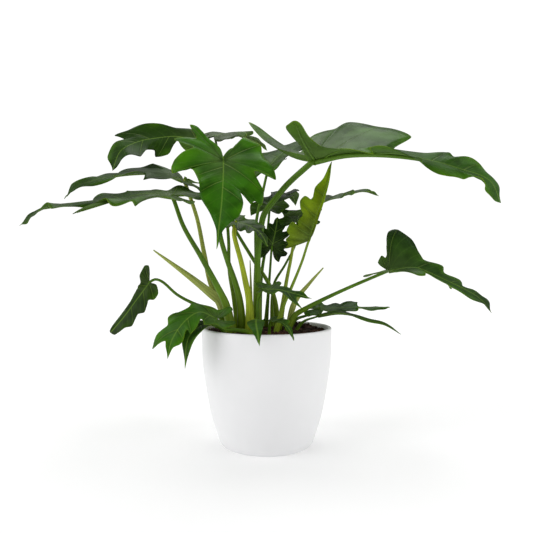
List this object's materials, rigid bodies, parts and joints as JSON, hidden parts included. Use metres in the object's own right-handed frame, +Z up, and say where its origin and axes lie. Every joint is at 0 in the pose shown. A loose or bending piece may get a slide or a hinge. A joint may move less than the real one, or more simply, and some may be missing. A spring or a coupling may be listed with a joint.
{
  "type": "potted philodendron",
  "caption": "Split-leaf philodendron with long arching stalks and lobed, drooping blades, growing from soil in a plain round tapered white planter.",
  "frame": {"origin": "centre of the planter's flat underside", "axes": "+Z up, +X to the right of somebody who faces the plant, +Y away from them"},
  "size_m": [0.7518, 0.4212, 0.5774],
  "materials": {
    "pot": "satin white, smooth, faintly darker towards the middle of its height",
    "soil": "damp crumbly potting soil",
    "leaf": "leathery half-gloss green with paler veins and a yellow-green margin",
    "leaf_young": "soft yellow-green, half-gloss",
    "stalk": "smooth half-gloss green, paler at the foot",
    "spear": "dull pale yellow-green with fine lengthwise lines"
  },
  "bodies": {
    "root": {"blade_back_dark": "leaf", "blade_back_low": "leaf", "blade_back_middle": "leaf", "blade_back_right_top": "leaf", "blade_back_top": "leaf", "blade_centre_low": "leaf", "blade_centre_pale": "leaf", "blade_front": "leaf", "blade_left_hanging": "leaf", "blade_left_long": "leaf", "blade_left_top": "leaf", "blade_left_upper": "leaf", "blade_right_back": "leaf", "blade_right_large": "leaf", "blade_right_low": "leaf", "blade_right_narrow": "leaf", "blade_right_short": "leaf", "blade_rim_front": "leaf", "blade_rim_front_thin": "leaf", "blade_rim_left": "leaf", "blade_rim_left_dark": "leaf", "blade_young": "leaf_young", "pot": "pot", "soil": "soil", "spear_back": "spear", "spear_left": "spear", "spear_right": "spear", "stalk_back_dark": "stalk", "stalk_back_low": "stalk", "stalk_back_middle": "stalk", "stalk_back_right_top": "stalk", "stalk_back_top": "stalk", "stalk_centre_low": "stalk", "stalk_centre_pale": "stalk", "stalk_front": "stalk", "stalk_left_hanging": "stalk", "stalk_left_long": "stalk", "stalk_left_top": "stalk", "stalk_left_upper": "stalk", "stalk_right_back": "stalk", "stalk_right_large": "stalk", "stalk_right_low": "stalk", "stalk_right_narrow": "stalk", "stalk_right_short": "stalk", "stalk_rim_front": "stalk", "stalk_rim_front_thin": "stalk", "stalk_rim_left": "stalk", "stalk_rim_left_dark": "stalk", "stalk_young": "stalk"}
  },
  "joints": []
}
